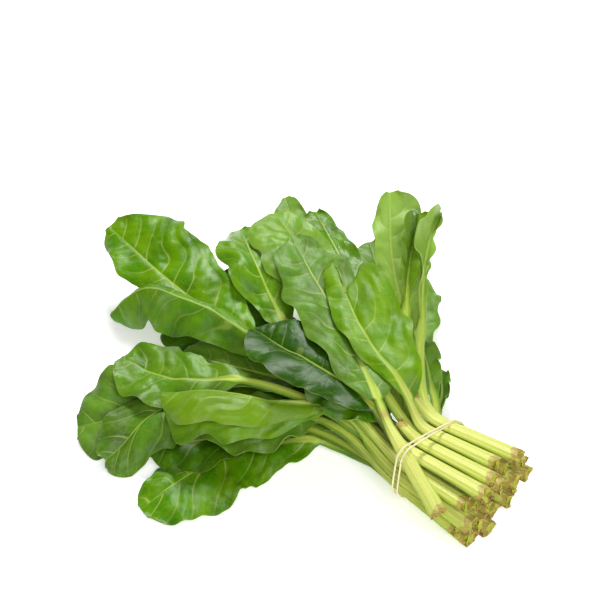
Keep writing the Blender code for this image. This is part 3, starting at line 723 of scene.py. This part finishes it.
class FineStrip:
    """A leaf or cut stalk at full detail: both faces and what its colours follow."""

    def __init__(self, cage):
        leaf_set, stalk_set = settings("chard_leaf"), settings("chard_stalk")
        growth = cage.growth
        self.growth, self.name = growth, growth.grown.name
        self.seed = sum(map(ord, self.name))
        self.lengths = growth.fine_lengths(leaf_set.stalk_rows, leaf_set.blade_rows)
        self.from_cut = self.lengths
        if not growth.bladed:
            self.from_cut = np.minimum(self.lengths, self.lengths[-1] - self.lengths)
        self.share = growth.share(self.lengths)
        self.t = np.clip(self.share - 1, 0, 1)
        self.on_blade = smooth_step((self.share - 0.85) * 5) * growth.bladed
        self.v = np.linspace(-1, 1, leaf_set.columns)
        self.shape(growth)
        self.raise_with(cage)
        self.relief(leaf_set, stalk_set)

    def shape(self, growth):
        """The upper face, from the midrib out, and how far each point is from the midrib."""
        points, along, left, up = growth.midrib(self.lengths, 4)
        size = (len(self.v), len(self.lengths))
        self.lattice, self.reach = np.zeros((*size, 3)), np.zeros(size)
        halves = [growth.fine_half(self.lengths, side) for side in (0, 1)]
        packed_to = growth.at_band + PACKED_PAST_BAND
        self.packed = smooth_step((packed_to - self.lengths) / PACKED_FADE)
        self.at_cut = smooth_step((AT_CUT_TO - self.lengths) / AT_CUT_FADE)
        self.winged = smooth_step((self.lengths - WINGED_FROM) / WINGED_FADE)
        self.winged = self.winged * smooth_step((1 - self.share) * 6) * growth.bladed
        scallop = 1 + 0.03 * self.on_blade * waves(self.seed + 6, self.lengths, 0.0, 24, 9)
        scallop = scallop + PACKED_WIDER * self.packed + AT_CUT_WIDER * self.at_cut
        scallop = scallop + WINGED_WIDER * self.winged
        for k, v in enumerate(self.v):
            width, _, fold, curl, ruffle, lean = halves[0 if v > 0 else 1]
            reach = abs(v) * width * scallop
            across, rise = section(reach, width, fold, curl)
            rise = rise + abs(v) ** 2.2 * ruffle
            sign = 1 if v > 0 else -1
            outward = out_of_midrib(sign, lean, along, left)
            self.lattice[k] = points + across[:, None] * outward + rise[:, None] * up
            self.reach[k] = sign * reach
        on_blade = (self.share >= 1) & growth.bladed
        self.rib = np.where(on_blade, np.interp(self.t, FINE_RIB_AT, FINE_RIB), ALL_STALK)

    def raise_with(self, cage):
        """The cage's lifts, drawn smoothly over the fine points."""
        across = np.stack([
            np.interp(self.v * np.abs(reach[-1]), reach, rise)
            for reach, rise in zip(cage.reach.T, cage.lifts.T)
        ], axis=1)
        cage_lengths = self.growth.cage_lengths()
        rise = np.stack([np.interp(self.lengths, cage_lengths, row) for row in across])
        self.lattice[..., 2] += softened(softened(rise, 10, 1), 4, 0)

    def relief(self, leaf_set, stalk_set):
        """Presses veins, puckers and waves into the blade, and ribs into the stalk."""
        s, a, across = self.lengths[None], self.reach, np.abs(self.v)[:, None]
        out, t = np.abs(a), self.t[None]
        blade = self.on_blade[None]
        spacing = leaf_set.vein_spacing
        side = 0.45 * (self.v[:, None] > 0)
        start = (s - self.growth.base) - 0.5 * out - 0.02 * out**2
        self.phase = start / spacing + side + 0.3 * waves(self.seed, s, a, 60, 25)
        near = np.abs(self.phase - np.round(self.phase)) * spacing * VEIN_LEAN
        furrow = np.exp(-(near**2)) * (1 - 0.8 * across)
        swell = -np.cos(2 * math.pi * self.phase) / 2
        inner = smooth_step(out / 9) * smooth_step((1 - across) * 4)
        calm = 1 - 0.6 * LOOKS[self.name][0] ** 3
        pucker = leaf_set.pucker * calm
        swollen = pucker * swell * inner * smooth_step(t * 8)
        swollen = swollen + 0.3 * pucker * waves(self.seed + 1, s, a, 15, 6) * inner
        slow = leaf_set.crumple * calm * waves(self.seed + 2, s, a, 64, 26)
        slow = slow * smooth_step(out / 12)
        frill = leaf_set.frill * waves(self.seed + 5, s, 6 * side, 24, 10) * across**4
        groove = leaf_set.groove * furrow * smooth_step(out / 3)
        rib_groove = 0.5 * np.exp(-((out / 1.2) ** 2)) * smooth_step(t * 10) * (1 - 0.6 * t)
        sheet = (swollen + slow + frill * smooth_step(t * 6)) * blade
        ribs = stalk_set.ribs * np.cos(2 * math.pi * 2.5 * self.v[:, None]) * (1 - blade)
        normal = facing(self.lattice)
        self.lattice += normal * (sheet - (groove + rib_groove) * blade + ribs)[..., None]
        self.thicken(leaf_set.sheet, furrow)

    def thicken(self, sheet, furrow):
        """The stalk's round section, and the thin sheet of the blade with its midrib."""
        v = np.abs(self.v)
        centre = self.growth.centre_thick(self.lengths)[None]
        stalk = centre * np.interp(v, STALK_SECTION_AT, STALK_SECTION)[:, None]
        lens = np.interp(v, CUT_SECTION_AT, CUT_SECTION)[:, None]
        stalk = stalk + (centre * lens - stalk) * self.at_cut
        stalk = stalk * (1 + PACKED_THICKER * self.packed)
        wing = self.winged * smooth_step((v[:, None] - 0.5) * 2.5)
        stalk = stalk * (1 - WINGED_THINNER * wing)
        under_rib = np.exp(-((np.abs(self.reach) / (0.55 * self.rib + 0.6)) ** 2))
        veined = sheet + (centre - sheet) * under_rib + 0.3 * furrow
        turn = smooth_step((self.share - 0.8) * 4)[None] * self.growth.bladed
        self.thick = np.maximum(stalk + (veined - stalk) * turn, sheet)

    def rest_on_table(self, table):
        """Lifts whatever still reaches below the table."""
        lowest = np.minimum(lower_face(self.lattice, self.thick)[..., 2], self.lattice[..., 2])
        self.lattice[..., 2] += np.maximum(table + TABLE_CLEARANCE - lowest, 0)

    def cut_rows(self):
        """The rows that lie in a cut: the first, and a cut stalk's last."""
        return ({0},) if self.growth.bladed else ({0}, {len(self.lengths) - 1})

    def ragged_ends(self, amount):
        """Uneven cut: each column's last few millimetres are drawn out or in."""
        along = np.gradient(self.lattice, axis=1)
        along /= np.linalg.norm(along, axis=2, keepdims=True)
        uneven = amount * waves(self.seed + 3, self.reach[:, :1], 0.0, 12, 5)
        self.lattice -= along * (uneven * smooth_step(1 - self.lengths / 9))[..., None]
        if not self.growth.bladed:
            from_end = self.lengths[-1] - self.lengths
            self.lattice += along * (2 * uneven * smooth_step(1 - from_end / 9))[..., None]


@functools.lru_cache
def fine_bunch():
    """Every leaf and cut stalk at full detail, laid again on each other, by name."""
    relief = Relief(FINE_CELL, FINE_GAP, 2)
    found = {}
    for name, cage in cages().items():
        free_from = cage.growth.free_from
        strip = FineStrip(cage)
        need = relief.need(strip.lattice, strip.thick, free_from)
        strip.lattice[..., 2] += fine_lifts(strip.lattice, need, free_from)
        strip.ragged_ends(settings("chard_stalk").ragged)
        strip.rest_on_table(-frame_shift()[2])
        relief.add(strip.lattice, strip.thick)
        found[name] = strip
    return found


class Finish:
    """A material in the making: each method adds one node and returns what it gives."""

    def __init__(self, name):
        self.material = bpy.data.materials.new(name)
        self.material.use_nodes = True
        self.tree = self.material.node_tree
        self.shader = self.tree.nodes["Principled BSDF"]

    def feed(self, socket, value):
        if isinstance(value, bpy.types.NodeSocket):
            self.tree.links.new(value, socket)
        elif socket.type == "RGBA":
            socket.default_value = (*value[:3], 1)
        else:
            socket.default_value = value

    def feed_all(self, node, inputs):
        for key, value in inputs.items():
            self.feed(node.inputs[key.replace("_", " ")], value)

    def surface(self, **inputs):
        """Gives the shader itself its inputs, and returns the finished material."""
        self.feed_all(self.shader, inputs)
        return self.material

    def add(self, kind, result, setup, **inputs):
        node = self.tree.nodes.new(kind)
        for key, value in setup.items():
            setattr(node, key, value)
        self.feed_all(node, inputs)
        return node.outputs[result]

    def attribute(self, name):
        """The three numbers that a piece carries under this name."""
        both = self.add("ShaderNodeAttribute", "Vector", {"attribute_name": name})
        split = self.add("ShaderNodeSeparateXYZ", "X", {}, Vector=both)
        return [split.node.outputs[k] for k in range(3)]

    def vector(self, x, y):
        return self.add("ShaderNodeCombineXYZ", 0, {}, X=x, Y=y)

    def math(self, operation, first, second=0.0):
        node = self.tree.nodes.new("ShaderNodeMath")
        node.operation = operation
        self.feed(node.inputs[0], first)
        self.feed(node.inputs[1], second)
        return node.outputs[0]

    def plus(self, total, *others):
        for other in others:
            total = self.math("ADD", total, other)
        return total

    def less(self, first, second):
        return self.math("SUBTRACT", first, second)

    def times(self, first, second):
        return self.math("MULTIPLY", first, second)

    def ramp(self, value, low, high, start=0.0, end=1.0):
        """start below low, end above high, and smooth between."""
        node = self.tree.nodes.new("ShaderNodeMapRange")
        node.interpolation_type = "SMOOTHSTEP"
        for socket, given in zip(node.inputs, (value, low, high, start, end)):
            self.feed(socket, given)
        return node.outputs[0]

    def mix(self, share, first, second):
        node = self.tree.nodes.new("ShaderNodeMix")
        node.data_type = "RGBA"
        self.feed(node.inputs[0], share)
        self.feed(node.inputs[6], first)
        self.feed(node.inputs[7], second)
        return node.outputs[2]

    def noise(self, where, scale, detail=2.0):
        return self.add("ShaderNodeTexNoise", 0, {}, Vector=where, Scale=scale, Detail=detail)

    def cells(self, where, scale):
        """Distance to the nearest wall between the cells of a random net."""
        setup = {"feature": "DISTANCE_TO_EDGE"}
        return self.add("ShaderNodeTexVoronoi", 0, setup, Vector=where, Scale=scale)

    def bump(self, height, distance, strength):
        return self.add(
            "ShaderNodeBump", 0, {}, Height=height, Distance=distance, Strength=strength
        )


def stalk_colour(finish, stalk_set, where, rim, bruise_at):
    """Pale ridge and greener sides of a stalk, dried tan and brown near its cut end."""
    from_cut, across, _ = finish.attribute("place")
    streaks = finish.vector(finish.times(from_cut, 0.03), across)
    streak = finish.ramp(finish.noise(streaks, 0.45, 3.0), 0.35, 0.65, 0.0, 0.7)
    sides = finish.ramp(rim, 0.35, 1.0, -0.1, 0.55)
    upward = finish.ramp(from_cut, 55.0, 120.0, 0.0, 0.85)
    colour = finish.mix(finish.plus(streak, sides, upward), stalk_set.pale, stalk_set.green)
    spots = finish.noise(where, 0.3, 5.0)
    patches = finish.ramp(finish.noise(where, 1.1, 3.0), 0.42, 0.66)
    dry = finish.mix(patches, stalk_set.tan, stalk_set.brown)
    reach = finish.plus(from_cut, finish.times(spots, -13.0))
    colour = finish.mix(finish.ramp(reach, -5.5, -0.5, 0.95, 0.0), colour, dry)
    bruise = finish.math("ABSOLUTE", finish.less(from_cut, bruise_at))
    bruise = finish.plus(bruise, finish.times(spots, -6.0))
    return finish.mix(finish.ramp(bruise, -2.5, 3.0, 0.8, 0.0), colour, stalk_set.tan)


def vein_nearness(finish, phase, spacing):
    """Distance to the nearest line of whole phase."""
    fraction = finish.math("FRACT", finish.plus(phase, 0.5))
    return finish.times(finish.math("ABSOLUTE", finish.less(fraction, 0.5)), spacing)


def blade_green(finish, leaf_set, where, cloudy, near, under):
    """The blade's own green: darker in clouds, yellower in patches, with painted shade in the
    furrows beside its veins.
    """
    dark, yellow, grey_tone_and_painted_light = finish.attribute("tint")
    clouded = finish.ramp(cloudy, 0.3, 0.7, -0.3, 0.45)
    mottled = finish.ramp(finish.noise(where, 0.35, 3.0), 0.3, 0.7, -0.16, 0.16)
    # Painted shade: the green darkens in the furrows beside each vein.
    painted_vein_shade = finish.ramp(near, 0.6, 4.5, 0.22, 0.0)
    shade = finish.plus(dark, clouded, mottled, painted_vein_shade)
    green = finish.mix(shade, leaf_set.fresh, leaf_set.dark)
    patches = finish.ramp(finish.noise(where, 0.06, 3.0), 0.32, 0.68, -0.35, 0.3)
    patches = finish.times(patches, finish.less(1.0, dark))
    green = finish.mix(finish.plus(yellow, patches), green, leaf_set.yellow)
    # Painted sheen and glow: a greyed, paler green, partly the blade's own tone.
    green = finish.mix(grey_tone_and_painted_light, green, leaf_set.grey_tone_and_painted_light)
    return finish.mix(0.72, green, leaf_set.underside) if under else green


def side_veins(finish, near, rim):
    """1 on a side vein and 0 off it, thinner and fainter towards the edge."""
    line = finish.less(near, finish.ramp(rim, 0.0, 1.0, 0.36, 0.02))
    line = finish.ramp(line, -0.1, 0.45, 1.0, 0.0)
    return finish.times(line, finish.ramp(rim, 0.3, 1.0, 1.0, 0.3))


def fine_veins(finish, phase, spacing, rim, where, net):
    """The forks of the side veins near the edge, and patches of the net between them."""
    fork = vein_nearness(finish, finish.times(phase, 2.0), 0.5 * spacing)
    fork = finish.ramp(fork, 0.05, 0.4, 1.0, 0.0)
    fork = finish.times(fork, finish.ramp(rim, 0.45, 0.8, 0.0, 0.4))
    patchy = finish.ramp(finish.noise(where, 0.08), 0.4, 0.7)
    net_line = finish.times(finish.ramp(net, 0.0, 0.06, 0.35, 0.0), patchy)
    return finish.math("MAXIMUM", fork, net_line)


def leaf_finish(name, under):
    """The finish of a blade's upper or lower face, and of the stalk that it grows on."""
    leaf_set, stalk_set = settings("chard_leaf"), settings("chard_stalk")
    finish = Finish(name)
    from_cut, across, along = finish.attribute("place")
    phase, rim, rib = finish.attribute("vein")
    gloss, veins, bruise_at = finish.attribute("look")
    where = finish.vector(from_cut, across)
    cloudy = finish.noise(where, 0.04, 4.0)
    net = finish.cells(where, 0.17)
    spacing = VEIN_LEAN * leaf_set.vein_spacing
    near = vein_nearness(finish, phase, spacing)
    green = blade_green(finish, leaf_set, where, cloudy, near, under)
    vein_colour = finish.mix(0.48, leaf_set.vein, green)
    vein_line = side_veins(finish, near, rim)
    fine_line = fine_veins(finish, phase, spacing, rim, where, net)
    flow = finish.times(finish.math("MAXIMUM", vein_line, fine_line), veins)
    flow = finish.math("MAXIMUM", flow, finish.ramp(rim, 0.98, 1.0, 0.0, 0.4))
    pale = finish.times(finish.ramp(near, 0.3, 2.0, 0.12, 0.0), veins)
    colour = finish.mix(pale, green, vein_colour)
    colour = finish.mix(flow, colour, vein_colour)
    stalk = stalk_colour(finish, stalk_set, where, rim, bruise_at)
    margin = finish.ramp(rim, 0.2, 0.85, 0.0, 0.9)
    margin = finish.times(margin, finish.ramp(from_cut, 50.0, 100.0))
    stalk = finish.mix(margin, stalk, green)
    stalk = finish.mix(finish.ramp(along, 0.0, 0.25, 0.0, 0.8), stalk, vein_colour)
    on_rib = finish.ramp(rib, 0.7, 1.2, 1.0, 0.0)
    on_rib = finish.times(on_rib, finish.ramp(along, 0.75, 1.0, 1.0, 0.3))
    shine = finish.plus(gloss, finish.ramp(cloudy, 0.3, 0.7, 0.15, -0.15))
    rough = finish.ramp(shine, 0.0, 1.0, *(LOWER_ROUGH if under else UPPER_ROUGH))
    relief = finish.times(finish.ramp(net, 0.0, 0.3), 0.9)
    relief = finish.plus(relief, finish.ramp(finish.cells(where, 0.7), 0.0, 0.35))
    height = finish.plus(finish.times(relief, 0.4), finish.noise(where, 2.2, 3.0))
    height = finish.less(height, finish.times(vein_line, 0.5))
    return finish.surface(
        Base_Color=finish.mix(on_rib, colour, stalk),
        Roughness=finish.plus(rough, finish.times(on_rib, 0.06)),
        Specular_IOR_Level=LEAF_SPECULAR,
        Normal=finish.bump(height, 0.0003, 0.55),
    )


def cut_finish():
    """Pale green tissue in the middle of the cut, tan and brown towards its rim."""
    stalk_set = settings("chard_stalk")
    finish = Finish("chard_cut_end")
    core, _, _ = finish.attribute("cut")
    where = finish.add("ShaderNodeTexCoord", "Object", {})
    patches = finish.ramp(finish.noise(where, 420.0, 4.0), 0.42, 0.62)
    dry = finish.mix(patches, stalk_set.tan, stalk_set.brown)
    uneven = finish.ramp(finish.noise(where, 170.0, 4.0), 0.3, 0.7, -0.55, 0.35)
    moist = finish.ramp(finish.plus(core, uneven), 0.15, 0.5)
    fibres = finish.ramp(finish.cells(where, 700.0), 0.0, 0.12, 0.35, 0.0)
    colour = finish.mix(fibres, finish.mix(moist, dry, stalk_set.cut), stalk_set.tan)
    return finish.surface(
        Base_Color=colour,
        Roughness=0.6,
        Specular_IOR_Level=CUT_SPECULAR,
        Normal=finish.bump(finish.noise(where, 900.0, 4.0), 0.0005, 0.7),
    )


def elastic_finish(colour):
    """Dull cream, a little darker where it is worn."""
    finish = Finish("chard_elastic")
    where = finish.add("ShaderNodeTexCoord", "Object", {})
    worn = finish.ramp(finish.noise(where, 120.0, 3.0), 0.3, 0.7)
    shaded = [BAND_SHADED * channel for channel in colour]
    return finish.surface(Base_Color=finish.mix(worn, shaded, colour), Roughness=0.55)


@functools.lru_cache
def strip_finishes():
    return [
        leaf_finish("chard_upper_face", False),
        leaf_finish("chard_lower_face", True),
        cut_finish(),
    ]


def three_numbers(first, second, third):
    """A row of three for each point of a lattice."""
    return np.stack(np.broadcast_arrays(first, second, third), axis=2).reshape(-1, 3)


def strip_mesh(strip):
    """A closed mesh of both faces, joined round the edge, with its cut ends roughened."""
    shift = frame_shift()
    upper = (strip.lattice + shift) * MM
    lower = (lower_face(strip.lattice, strip.thick) + shift) * MM
    upper[..., 2] = np.maximum(upper[..., 2], UPPER_CLEARANCE * MM)
    lower[..., 2] = np.maximum(lower[..., 2], TABLE_CLEARANCE * MM)
    columns, rows = strip.lattice.shape[:2]
    shape = bmesh.new()
    seat = shape.verts.layers.int.new("seat")
    below = shape.verts.layers.int.new("below")
    names = ("place", "vein", "tint", "look", "cut")
    layers = [shape.verts.layers.float_vector.new(name) for name in names]
    bmesh.ops.create_grid(shape, x_segments=rows - 1, y_segments=columns - 1, size=1)
    for index, vert in enumerate(shape.verts):
        vert[seat] = index
    grown = bmesh.ops.extrude_face_region(shape, geom=shape.faces[:], use_keep_orig=True)
    for vert in grown["geom"]:
        if isinstance(vert, bmesh.types.BMVert):
            vert[below] = 1
    flat = [face.reshape(-1, 3) for face in (upper, lower)]
    place = three_numbers(strip.from_cut, strip.reach, strip.t)
    rim = np.abs(strip.v)[:, None]
    vein = three_numbers(strip.phase, rim, np.abs(strip.reach) / strip.rib)
    tint = Vector(LOOKS[strip.name][:3])
    look = Vector((*LOOKS[strip.name][3:], BRUISE_AT.get(strip.name, 0.0)))
    for vert in shape.verts:
        index = vert[seat]
        vert.co = flat[vert[below]][index]
        vert[layers[0]], vert[layers[1]] = place[index], vein[index]
        vert[layers[2]], vert[layers[3]] = tint, look
    for face in shape.faces:
        lower_corners = sum(vert[below] for vert in face.verts)
        face.smooth = True
        face.material_index = 0 if lower_corners == 0 else 1
        ends = {vert[seat] % rows for vert in face.verts}
        if 0 < lower_corners < 4 and ends in strip.cut_rows():
            face.material_index = 2
    bmesh.ops.recalc_face_normals(shape, faces=shape.faces)
    roughen_cut(shape, seat, layers[0], layers[4], strip)
    mesh = bpy.data.meshes.new(strip.name)
    shape.to_mesh(mesh)
    shape.free()
    mesh.set_sharp_from_angle(angle=SHARP_ANGLE)
    return mesh


def roughen_cut(shape, seat, place, core, strip):
    """Parts the cut faces between both faces of the strip, hollows them and crumples them."""
    columns, rows = strip.lattice.shape[:2]
    draw = np.random.default_rng(strip.seed + 4)
    for (end,) in strip.cut_rows():
        edges = [
            edge for edge in shape.edges
            if edge.verts[0][seat] == edge.verts[1][seat] and edge.verts[0][seat] % rows == end
        ]
        edges.sort(key=lambda edge: edge.verts[0][seat])
        sides = [tuple(vert.co.copy() for vert in edge.verts) for edge in edges]
        parted = bmesh.ops.subdivide_edges(
            shape, edges=edges, cuts=CUT_FACE_CUTS, use_grid_fill=True
        )
        added = [item for item in parted["geom_inner"] if isinstance(item, bmesh.types.BMVert)]
        inner = strip.lattice[columns // 2, 4 if end == 0 else -5]
        onward = Vector(inner - strip.lattice[columns // 2, end]).normalized()
        for vert in added:
            column = np.argmin(np.abs(strip.reach[:, end] - vert[place].y))
            near, far = sides[column]
            share = (vert.co - near).length / (far - near).length
            from_side = 1 - abs(strip.v[column]) ** 4
            depth = min(1.0, 2 * (1 - abs(2 * share - 1))) * from_side
            vert[core] = Vector((depth, 0.0, 0.0))
            rough = CUT_ROUGH * draw.random() - CUT_PROUD
            vert.co += onward * (CUT_HOLLOW * depth + rough) * MM
            vert.co.z = max(vert.co.z, TABLE_CLEARANCE * MM)


def place_piece(obj, node):
    bpy.context.scene.collection.objects.link(obj)
    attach(obj, "root")
    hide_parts(node)
    return obj


def strip_piece(name):
    obj = bpy.data.objects.new(name + "_fine", strip_mesh(fine_bunch()[name]))
    for material in strip_finishes():
        obj.data.materials.append(material)
    return place_piece(obj, name)


class CHARD_OT_leaves(bpy.types.Operator):
    """Adds every leaf with its stalk, laid from the table up"""

    bl_idname = "object.chard_leaves"
    bl_label = "Add Leaves"

    def execute(self, context):
        for leaf in (*LEAVES, *UPPER_LEAVES):
            strip_piece(leaf.name)
        return {"FINISHED"}


class CHARD_OT_stalks(bpy.types.Operator):
    """Adds the stalks that were cut off above the band"""

    bl_idname = "object.chard_stalks"
    bl_label = "Add Cut Stalks"

    def execute(self, context):
        for stub in STUBS:
            strip_piece(stub.name)
        return {"FINISHED"}


def band_outline(offset):
    """The tight outline round the stalks where the band sits, as evenly spaced points."""
    ring = []
    for strip in fine_bunch().values():
        at = np.argmin(np.abs(strip.lattice[len(strip.v) // 2, :, 0]))
        for face in (strip.lattice, lower_face(strip.lattice, strip.thick)):
            ring.append(face[:, at, 1:])
    ring = np.concatenate(ring)
    turn = np.linspace(0, 2 * math.pi, OUTLINE_TURNS + 1)
    out = np.stack([np.cos(turn), np.sin(turn)], axis=1)
    outer = ring[np.argmax(out @ ring.T, axis=1)] + out * offset
    run = run_along(outer)
    even = np.linspace(0, run[-1], OUTLINE_POINTS + 1)[:-1]
    return np.stack([np.interp(even, run, outer[:, k]) for k in range(2)], axis=1)


class CHARD_OT_elastic(bpy.types.Operator):
    """Adds the elastic band, wound twice round the stalks"""

    bl_idname = "object.chard_elastic"
    bl_label = "Add Elastic Band"

    def execute(self, context):
        band_set = settings("chard_elastic")
        thick = band_set.thick
        outline = band_outline(BAND_OFF_STALKS * thick)
        middle = outline.mean(axis=0)
        shift = frame_shift()
        curve = bpy.data.curves.new("elastic_band_fine", "CURVE")
        curve.dimensions = "3D"
        curve.bevel_depth = thick / 2 * MM
        curve.bevel_resolution = 3
        spline = curve.splines.new("POLY")
        spline.points.add(2 * len(outline) - 1)
        spline.use_cyclic_u = True
        for k in range(2 * len(outline)):
            turn = math.pi * (k / len(outline) + BAND_CROSSING)
            y, z = outline[k % len(outline)]
            out = np.array([y, z]) - middle
            out = out / np.linalg.norm(out)
            lift = BAND_OVER_ITSELF * thick * (1 + math.sin(turn)) / 2
            x = band_set.apart / 2 * math.cos(turn) + band_set.tilt * out[0]
            point = np.array([x, y + out[0] * lift, z + out[1] * lift]) + shift
            point[2] = max(point[2], 0.5 * thick + TABLE_CLEARANCE)
            spline.points[k].co = (*(point * MM), 1)
        curve.materials.append(elastic_finish(band_set.colour))
        place_piece(bpy.data.objects.new("elastic_band_fine", curve), "elastic_band")
        return {"FINISHED"}


def soft_light(name, place, size, power):
    place, target = Vector(place), Vector(LIT_MIDDLE)
    light = bpy.data.lights.new(name, "AREA")
    light.energy = power
    light.size = size
    obj = bpy.data.objects.new(name, light)
    obj.location = place
    obj.rotation_euler = (target - place).to_track_quat("-Z", "Y").to_euler()
    bpy.context.scene.collection.objects.link(obj)


class CHARD_OT_stage(bpy.types.Operator):
    """Adds the floor, the soft lights and the camera"""

    bl_idname = "object.chard_stage"
    bl_label = "Add Stage"

    def execute(self, context):
        stage_set = settings("chard_stage")
        self.floor(stage_set)
        self.lights(stage_set)
        self.camera(stage_set)
        return {"FINISHED"}

    def floor(self, stage_set):
        mesh = bpy.data.meshes.new("floor")
        shape = bmesh.new()
        bmesh.ops.create_grid(shape, x_segments=1, y_segments=1, size=FLOOR_HALF_WIDTH)
        shape.to_mesh(mesh)
        shape.free()
        obj = bpy.data.objects.new("floor", mesh)
        bpy.context.scene.collection.objects.link(obj)
        mesh.materials.append(Finish("floor").surface(
            Base_Color=stage_set.floor,
            Roughness=0.8,
            Specular_IOR_Level=0.2,
            Emission_Color=(1, 1, 1),
            Emission_Strength=stage_set.table_glow,
        ))

    def lights(self, stage_set):
        world = bpy.data.worlds.new("studio")
        world.use_nodes = True
        background = world.node_tree.nodes["Background"]
        background.inputs["Color"].default_value = (1, 1, 1, 1)
        background.inputs["Strength"].default_value = stage_set.sky
        bpy.context.scene.world = world
        bpy.context.scene.view_settings.view_transform = "Standard"
        soft_light("key", KEY_PLACE, KEY_SIZE, stage_set.key)
        soft_light("fill", FILL_PLACE, FILL_SIZE, stage_set.fill)

    def camera(self, stage_set):
        azimuth, elevation = stage_set.azimuth, stage_set.elevation
        back = Vector((
            math.sin(azimuth) * math.cos(elevation),
            -math.cos(azimuth) * math.cos(elevation),
            math.sin(elevation),
        ))
        target = (Vector(CAMERA_TARGET) + Vector(frame_shift())) * MM
        camera = bpy.data.cameras.new("camera")
        camera.lens = CAMERA_LENS
        camera.clip_start = 0.01
        camera.clip_end = 50
        obj = bpy.data.objects.new("camera", camera)
        obj.location = target + back * stage_set.distance
        obj.rotation_euler = (-back).to_track_quat("-Z", "Y").to_euler()
        bpy.context.scene.collection.objects.link(obj)
        bpy.context.scene.camera = obj


class CHARD_PT_panel(bpy.types.Panel):
    """The bunch's steps, in the order they are run"""

    bl_idname = "CHARD_PT_panel"
    bl_label = "Baby Chard Bunch"
    bl_space_type = "VIEW_3D"
    bl_region_type = "UI"
    bl_category = "Chard"

    def draw(self, context):
        for step in STEPS:
            self.layout.operator(step.bl_idname)


STEPS = (CHARD_OT_leaves, CHARD_OT_stalks, CHARD_OT_elastic, CHARD_OT_stage)
SETTINGS = {
    "chard_leaf": LeafSettings,
    "chard_stalk": StalkSettings,
    "chard_elastic": ElasticSettings,
    "chard_stage": StageSettings,
}


def register():
    for kind, group in SETTINGS.items():
        bpy.utils.register_class(group)
        setattr(bpy.types.Scene, kind, bpy.props.PointerProperty(type=group))
    for operator in STEPS:
        bpy.utils.register_class(operator)
    bpy.utils.register_class(CHARD_PT_panel)


def unregister():
    bpy.utils.unregister_class(CHARD_PT_panel)
    for operator in reversed(STEPS):
        bpy.utils.unregister_class(operator)
    for kind, group in reversed(SETTINGS.items()):
        delattr(bpy.types.Scene, kind)
        bpy.utils.unregister_class(group)


def main():
    register()
    bpy.ops.object.chard_leaves()
    bpy.ops.object.chard_stalks()
    bpy.ops.object.chard_elastic()
    bpy.ops.object.chard_stage()


if __name__ == "__main__":
    main()
